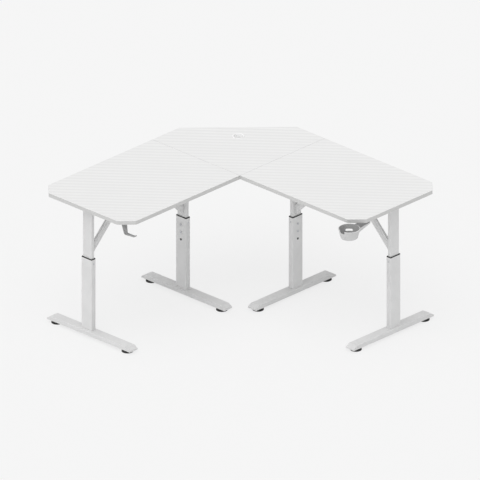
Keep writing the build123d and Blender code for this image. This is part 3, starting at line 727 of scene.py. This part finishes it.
def faces_inside(shape, faces, outline, along):
    """Cuts the outline into the faces, looking along a direction, and gives back the faces inside."""
    middle = sum(outline, Vector()) / len(outline)
    inside = list(faces)
    for start, end in zip(outline, outline[1:] + outline[:1]):
        outward = (end - start).cross(along).normalized()
        if (middle - start).dot(outward) > 0:
            outward.negate()
        edges = {edge for face in inside for edge in face.edges}
        verts = {vert for face in inside for vert in face.verts}
        cut = bmesh.ops.bisect_plane(
            shape, geom=inside + list(edges) + list(verts), dist=ON_PLANE, plane_co=start, plane_no=outward
        )
        inside = [
            face for face in cut["geom"]
            if isinstance(face, bmesh.types.BMFace) and (face.calc_center_median() - start).dot(outward) < 0
        ]
    return inside


print("cutting helpers ready")

# %% [markdown]
# Headphone hook
#
# The hook is one flat strip, bent down, forward and up at the tip: wide where it is screwed under
# the board and narrower towards its end. So it is made the way a bender would make it: draw its side
# view with rounded bends, pull that line sideways into a sheet, taper it, cut the two screw holes,
# and let Solidify give the thickness and Bevel break the edges.

# %% Headphone hook
HOOK_LINE = ((-46, 703, 0), (0, 703, 6.3), (14, 643, 6.8), (78, 647, 4.6), (81.5, 654, 0))
HOOK_WIDTHS = ((-46, 36), (0, 36), (14, 22), (85.5, 12))  # reach and width, in millimetres
HOOK_THICK, HOOK_EDGE, HOOK_EDGE_STEPS = 4.0, 0.9, 3
HOOK_HOLES, HOOK_HOLE = (-36, -16), 4.6
EDGE_TURN = math.radians(50)
LEVEL = 0.99  # a face is level when its normal's rise is more than this


def hook_width_at(reach):
    for (start, wide), (end, narrow) in zip(HOOK_WIDTHS, HOOK_WIDTHS[1:]):
        if reach <= end:
            return wide + (narrow - wide) * (reach - start) / (end - start)


hook = bmesh.new()
draw_outline(hook, HOOK_LINE)
pulled = bmesh.ops.extrude_edge_only(hook, edges=hook.edges[:])
far_side = [item for item in pulled["geom"] if isinstance(item, bmesh.types.BMVert)]
bmesh.ops.translate(hook, verts=far_side, vec=(0, MM, 0))
bmesh.ops.translate(hook, verts=hook.verts, vec=(0, -MM / 2, 0))
for vert in hook.verts:
    vert.co.y *= hook_width_at(vert.co.x / MM)
for across in HOOK_HOLES:
    plate = [face for face in hook.faces if abs(face.normal.z) > LEVEL and face.calc_center_median().x < 0]
    outline = [point + Vector((across * MM, 0, 0)) for point in circle_outline(HOOK_HOLE)]
    bmesh.ops.delete(hook, geom=faces_inside(hook, plate, outline, Vector((0, 0, 1))), context="FACES")
bmesh.ops.recalc_face_normals(hook, faces=hook.faces)

hook_low, hook_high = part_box("headphone_hook")
hook_place = Vector((hook_low.x - HOOK_LINE[0][0] * MM, (hook_low.y + hook_high.y) / 2, 0))
bent_hook = add_piece(
    "bent_hook", hook, hook_place, "desk_top", [hook_finish], "headphone_hook"
)
thickness = bent_hook.modifiers.new("strip_thickness", "SOLIDIFY")
thickness.thickness = HOOK_THICK * MM
thickness.offset = 0
thickness.use_even_offset = True
soft_edges = bent_hook.modifiers.new("soft_edges", "BEVEL")
soft_edges.width = HOOK_EDGE * MM
soft_edges.segments = HOOK_EDGE_STEPS
soft_edges.limit_method = "ANGLE"
soft_edges.angle_limit = EDGE_TURN

# %% [markdown]
# Cup holder: the bowl
#
# The cup sits in a thin moulded bowl with a notch for a mug's handle and a window at the back. The
# bowl starts as a sheet spun from its outer outline. The notch and the window are cut out of the
# sheet, and then the solidify operator gives it a wall. The faces that look at the axis and the
# floor of the bowl are painted a darker grey, as painted shade for the shadow inside the bowl.

# %% Cup bowl
BOWL_OUTLINE = ((0, 651.5, 0), (42, 651.5, 7.2), (53.5, 703.5, 0))
BOWL_STEPS = 120
BOWL_WALL = 2.5
NOTCH_WIDTH, NOTCH_DEPTH, NOTCH_ROUND = 32.0, 15.0, 6.0
WINDOW_WIDTH, WINDOW_HEIGHT, WINDOW_ROUND, WINDOW_MIDDLE = 37.0, 10.5, 3.5, 674.5
WINDOW_TURN = math.radians(135)
RIM_HEIGHT = 703.5
WALL_FROM = 20 * MM  # a face further out than this belongs to the wall
INSIDE_SHADE_TURN, BASE_TURN, BASE_TOP = 0.3, 0.5, 663.5 * MM

bowl = bmesh.new()
draw_outline(bowl, BOWL_OUTLINE)
spin_round(bowl, BOWL_STEPS)
front_wall = [face for face in bowl.faces if face.calc_center_median().y < -WALL_FROM]
notch = [
    Vector((point.x, 0, point.y + RIM_HEIGHT * MM))
    for point in rounded_outline(NOTCH_WIDTH, 2 * NOTCH_DEPTH, NOTCH_ROUND)
]
bmesh.ops.delete(bowl, geom=faces_inside(bowl, front_wall, notch, Vector((0, 1, 0))), context="FACES")
to_window = Vector((math.cos(WINDOW_TURN), math.sin(WINDOW_TURN), 0))
across_window = Vector((-to_window.y, to_window.x, 0))
back_wall = [face for face in bowl.faces if face.calc_center_median().dot(to_window) > WALL_FROM]
window = [
    across_window * point.x + Vector((0, 0, point.y + WINDOW_MIDDLE * MM))
    for point in rounded_outline(WINDOW_WIDTH, WINDOW_HEIGHT, WINDOW_ROUND)
]
bmesh.ops.delete(bowl, geom=faces_inside(bowl, back_wall, window, to_window), context="FACES")
outward = sum(face.normal.dot(face.calc_center_median() * Vector((1, 1, 0))) for face in bowl.faces)
if outward < 0:
    bmesh.ops.reverse_faces(bowl, faces=bowl.faces)
bmesh.ops.solidify(bowl, geom=bowl.faces[:], thickness=BOWL_WALL * MM)
# painted shade: faces inside the bowl and on its floor take the darker second finish
for face in bowl.faces:
    middle = face.calc_center_median()
    looks_in = face.normal.xy.dot(middle.xy) < -INSIDE_SHADE_TURN * middle.xy.length
    on_floor = face.normal.z > BASE_TURN and middle.z < BASE_TOP
    face.material_index = int(looks_in or on_floor)
print("bowl", len(bowl.faces), "faces", count_open(bowl), "open edges")

# %% [markdown]
# Cup holder: the lip
#
# A moulded rim is thicker than the wall, so that it is stiff and has no sharp edge. Its cross-section
# is spun about the bowl's axis and stops on both sides of the notch.

# %% Lip of the bowl
LIP_OUTLINE = ((52.4, 699.5, 0.4), (55, 699.5, 0.8), (55, 703.5, 1.2), (52.4, 703.5, 0.4))
LIP_STEPS = 110
LIP_RADIUS = 53.7  # at the middle of the lip

lip = bmesh.new()
draw_outline(lip, LIP_OUTLINE, closed=True)
end_face = bmesh.ops.contextual_create(lip, geom=lip.edges[:])["faces"]
half_notch = math.asin(NOTCH_WIDTH / 2 / LIP_RADIUS)
bmesh.ops.spin(
    lip, geom=end_face + lip.edges[:] + lip.verts[:], cent=(0, 0, 0), axis=(0, 0, 1), dvec=(0, 0, 0),
    angle=2 * (math.pi - half_notch), steps=LIP_STEPS, use_merge=False, use_duplicate=False,
)
bmesh.ops.recalc_face_normals(lip, faces=lip.faces)
bmesh.ops.rotate(
    lip, verts=lip.verts, cent=(0, 0, 0), matrix=Matrix.Rotation(half_notch - math.pi / 2, 3, "Z")
)
print("lip", len(lip.faces), "faces", count_open(lip), "open edges")

# %% [markdown]
# Cup holder: the arm
#
# The arm carries the bowl out from under the board. It starts as its side view, a flat face, and is
# extruded in two steps so that its root has a middle row of points, which lets the root follow the
# curve of the bowl. The far end is rounded with a wide bevel and the other sharp edges with a small one.

# %% Cup arm
ARM_SIDE = ((43.5, 664), (140, 693), (140, 705), (78, 705), (64, 703.5), (52.2, 703.5))
ARM_ROOT = 56 * MM  # what lies nearer to the axis of the bowl follows its curve
ARM_WIDTH, ARM_END_ROUND, ARM_END_STEPS, ARM_EDGE = 30.0, 10.0, 8, 0.7
ARM_END, ARM_MIDDLE, UPRIGHT = 139 * MM, 1 * MM, 5 * MM  # what tells the two end corners apart

arm = bmesh.new()
side = arm.faces.new([arm.verts.new((-ARM_WIDTH / 2 * MM, y * MM, z * MM)) for y, z in ARM_SIDE])
region = [side]
for _ in range(2):
    moved, region = extrude_faces(arm, region)
    bmesh.ops.translate(arm, verts=moved, vec=(ARM_WIDTH / 2 * MM, 0, 0))
for vert in arm.verts:
    if vert.co.y < ARM_ROOT:
        vert.co.y = math.sqrt(vert.co.y**2 - vert.co.x**2)
bmesh.ops.recalc_face_normals(arm, faces=arm.faces)
end_corners = [
    edge for edge in arm.edges
    if all(vert.co.y > ARM_END and abs(vert.co.x) > ARM_MIDDLE for vert in edge.verts)
    and abs(edge.verts[0].co.z - edge.verts[1].co.z) > UPRIGHT
]
bmesh.ops.bevel(
    arm, geom=end_corners, affect="EDGES", offset=ARM_END_ROUND * MM, segments=ARM_END_STEPS, profile=0.5,
    material=-1,
)
sharp_edges = [
    edge for edge in arm.edges
    if edge.calc_face_angle(0) > EDGE_TURN and all(vert.co.y > ARM_ROOT for vert in edge.verts)
]
bmesh.ops.bevel(
    arm, geom=sharp_edges, affect="EDGES", offset=ARM_EDGE * MM, segments=2, profile=0.5, material=-1
)
print("arm", len(arm.faces), "faces", count_open(arm), "open edges")

# %% [markdown]
# Cup holder: painted shade on the arm, and the screw bores
#
# The top and the upper part of each side of the arm are painted a darker grey, as painted shade for
# where the board above shades the arm. One bisect draws its lower edge on the sides and an inset
# sets it in a little. The two screws go up into the board through round bores, which are cut into
# the underside and extruded upwards.

# %% Painted shade and screw bores of the arm
SHADE_LINE_FROM, SHADE_LINE_TO = Vector((0, 63, 689.5)) * MM, Vector((0, 125, 697)) * MM
SHADE_INSET_DEPTH = 0.6 * MM
# the third finish is the painted shade under the board
SHADE_FINISH_INDEX = 2  # third in the cup holder's list of finishes
BORES, BORE_WIDTH, BORE_TOP = (100, 127), 9.0, 701.0
SIDEWAYS, UPWARDS, DOWNWARDS = 0.95, 0.3, -0.8  # how far a normal has to lean that way

up_from_shade_line = (SHADE_LINE_TO - SHADE_LINE_FROM).cross(Vector((-1, 0, 0))).normalized()
if up_from_shade_line.z < 0:
    up_from_shade_line.negate()
bmesh.ops.bisect_plane(
    arm, geom=arm.verts[:] + arm.edges[:] + arm.faces[:], dist=ON_PLANE, plane_co=SHADE_LINE_FROM,
    plane_no=up_from_shade_line,
)
shaded_sides = [
    face for face in arm.faces
    if abs(face.normal.x) > SIDEWAYS and (face.calc_center_median() - SHADE_LINE_FROM).dot(up_from_shade_line) > 0
]
# painted shade: the shaded sides and the top of the arm take the darker third finish
for face in arm.faces:
    if face in shaded_sides or face.normal.z > UPWARDS:
        face.material_index = SHADE_FINISH_INDEX
bmesh.ops.inset_region(
    arm, faces=shaded_sides, thickness=SHADE_INSET_DEPTH, depth=-SHADE_INSET_DEPTH, use_even_offset=True, use_boundary=True
)
for along in BORES:
    below = [face for face in arm.faces if face.normal.z < DOWNWARDS]
    outline = [point + Vector((0, along * MM, 0)) for point in circle_outline(BORE_WIDTH)]
    ceiling, _ = extrude_faces(arm, faces_inside(arm, below, outline, Vector((0, 0, 1))))
    for vert in ceiling:
        vert.co.z = BORE_TOP * MM
print("arm with insert and bores", len(arm.faces), "faces", count_open(arm), "open edges")

# %% [markdown]
# Cup holder: all of it
#
# Bowl, lip and arm are one moulding on the real desk, so they become one object, placed by the box
# of the CAD's cup holder.

# %% Put the cup holder together
cup_low, cup_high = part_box("cup_holder")
cup_place = Vector(((cup_low.x + cup_high.x) / 2, cup_high.y - ARM_SIDE[1][0] * MM, 0))
add_piece(
    "cup_bowl_and_arm", join_shapes([bowl, lip, arm]), cup_place, "desk_top",
    [FINISHES["grey_plastic"], bowl_shade_finish, arm_shade_finish], "cup_holder",
)
